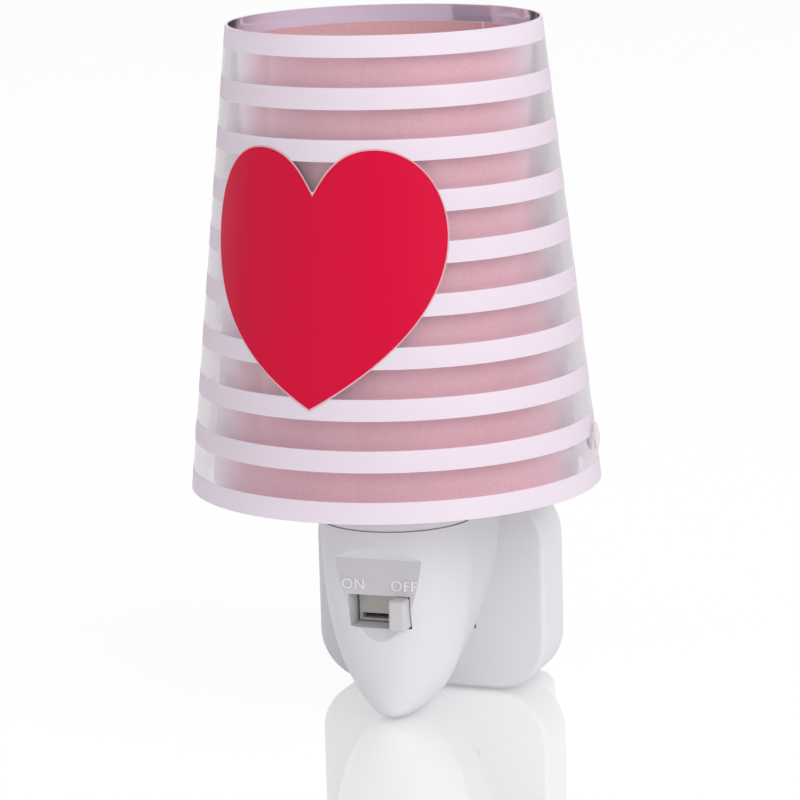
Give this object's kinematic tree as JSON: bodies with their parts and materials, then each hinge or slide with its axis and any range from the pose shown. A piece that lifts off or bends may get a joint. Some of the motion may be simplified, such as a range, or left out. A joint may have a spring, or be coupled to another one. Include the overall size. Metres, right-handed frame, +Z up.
{
  "type": "plug in night light",
  "caption": "Plug-in night light with a conical two-sheet shade round a screw-in bulb, on a teardrop housing with a sliding switch and two round plug pins behind.",
  "frame": {"origin": "midway between the two plug pins, on the end face of the round plug", "axes": "+Z up along the shade axis, +Y out of the plug into the wall, -Y the lamp's front"},
  "size_m": [0.0924, 0.1286, 0.1578],
  "materials": {
    "white_plastic": "satin moulded",
    "switch_plastic": "matt moulded",
    "knob_plastic": "satin moulded",
    "printed_clear_sheet": "clear sheet with white bands",
    "pink_sheet": "fine satin grain",
    "clear_plastic": "clear moulded",
    "insulating_plastic": "matt moulded",
    "brass": "stamped strip",
    "nickel_brass": "nickel plated",
    "steel": "zinc plated",
    "black_plastic": "matt",
    "brown_wire": "insulated wire",
    "blue_wire": "insulated wire",
    "opal_plastic": "opal satin",
    "circuit_board": "white solder mask",
    "light_chip": "yellow phosphor"
  },
  "bodies": {
    "base": {"lampholder_neck": "white_plastic", "lampholder_insert": "insulating_plastic", "screw_shell": "brass", "centre_contact": "brass", "side_contact": "brass", "front_shell": "white_plastic", "switch_body": "switch_plastic", "switch_base": "black_plastic", "fixed_contacts": "brass", "block_housing": "white_plastic", "back_cover": "white_plastic", "cover_screws": "steel", "shell_screws": "steel", "neutral_pin": "nickel_brass", "neutral_pin_sleeve": "black_plastic", "line_pin": "nickel_brass", "line_pin_sleeve": "black_plastic", "pin_terminals": "brass", "line_wire": "brown_wire", "neutral_wire": "blue_wire", "switched_wire": "brown_wire"},
    "switch": {"switch_knob": "knob_plastic", "switch_carriage": "switch_plastic", "moving_contact": "brass"},
    "collar": {"collar_ring": "white_plastic"},
    "shade": {"outer_shade": "printed_clear_sheet", "inner_shade": "pink_sheet", "shade_carrier": "clear_plastic", "shade_rivets": "clear_plastic", "rivet_washers": "clear_plastic", "sheet_spacers": "clear_plastic"},
    "bulb": {"bulb_tip_contact": "nickel_brass", "bulb_insulator": "black_plastic", "bulb_screw_cap": "nickel_brass", "bulb_housing": "white_plastic", "bulb_envelope": "opal_plastic", "led_board": "circuit_board", "led_chips": "light_chip", "bulb_driver": "black_plastic"}
  },
  "joints": [
    {"name": "switch_slide", "type": "slide", "parent": "base", "child": "switch", "axis": [-1, 0, 0], "range_m": [0, 0.0102]},
    {"name": "shade_turn", "type": "hinge", "parent": "base", "child": "collar", "pos_m": [0, -0.0636, 0.0307], "axis": [0, 0, 1], "continuous": true},
    {"name": "shade_lift", "type": "slide", "parent": "collar", "child": "shade", "axis": [0, 0, 1], "range_m": [0, 0.07]},
    {"name": "bulb_out", "type": "slide", "parent": "base", "child": "bulb", "axis": [0, 0, 1], "range_m": [0, 0.11]}
  ]
}
